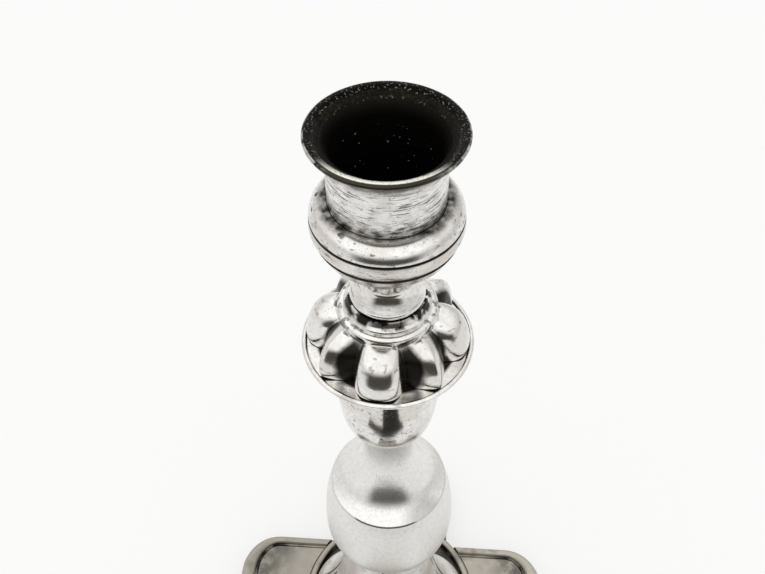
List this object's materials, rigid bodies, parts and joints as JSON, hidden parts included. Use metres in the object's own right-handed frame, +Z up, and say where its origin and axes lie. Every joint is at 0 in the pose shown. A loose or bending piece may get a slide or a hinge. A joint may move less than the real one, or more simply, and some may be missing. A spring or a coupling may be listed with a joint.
{
  "type": "candlestick",
  "caption": "Table candlestick with a flared candle socket that lifts off, a ringed collar, a lobed knop, a seamed bulb, a petalled foot dome and a lobed base with a raised border.",
  "frame": {"origin": "centre of the base's underside, on the axis of the stem, at table level", "axes": "+Z up along the stem; the lobes of the base point along +X, -X, +Y and -Y"},
  "size_m": [0.1064, 0.1064, 0.2096],
  "materials": {
    "bright_silver": "polished silver plate, scratched and pitted, black tarnish in the grooves",
    "satin_silver": "satin silver plate with fine brush marks",
    "dull_silver": "dull grey-brown silver plate with cloudy tarnish",
    "sooty_silver": "black soot and tarnish inside the socket",
    "thread_brass": "plain turned brass",
    "rod_steel": "plain bright steel"
  },
  "bodies": {
    "stem": {"neck_annulet": "bright_silver", "stem_coupling": "thread_brass", "knop_dome": "bright_silver", "knop_flange": "bright_silver", "knop_bell": "bright_silver", "bulb_upper": "satin_silver", "bulb_lower": "satin_silver", "foot_ring": "bright_silver", "foot_dome": "satin_silver", "base_ridge": "dull_silver", "base_plate": "dull_silver", "tie_rod": "rod_steel", "rod_washer": "rod_steel", "rod_nut": "rod_steel"},
    "socket": {"socket_tube": "bright_silver", "socket_floor": "sooty_silver", "socket_collar": "bright_silver", "socket_band": "bright_silver", "socket_bowl": "bright_silver", "neck_spool": "bright_silver", "socket_stud": "thread_brass"}
  },
  "joints": [
    {"name": "socket_lift", "type": "slide", "parent": "stem", "child": "socket", "axis": [0, 0, 1], "range_m": [0, 0.025]}
  ]
}
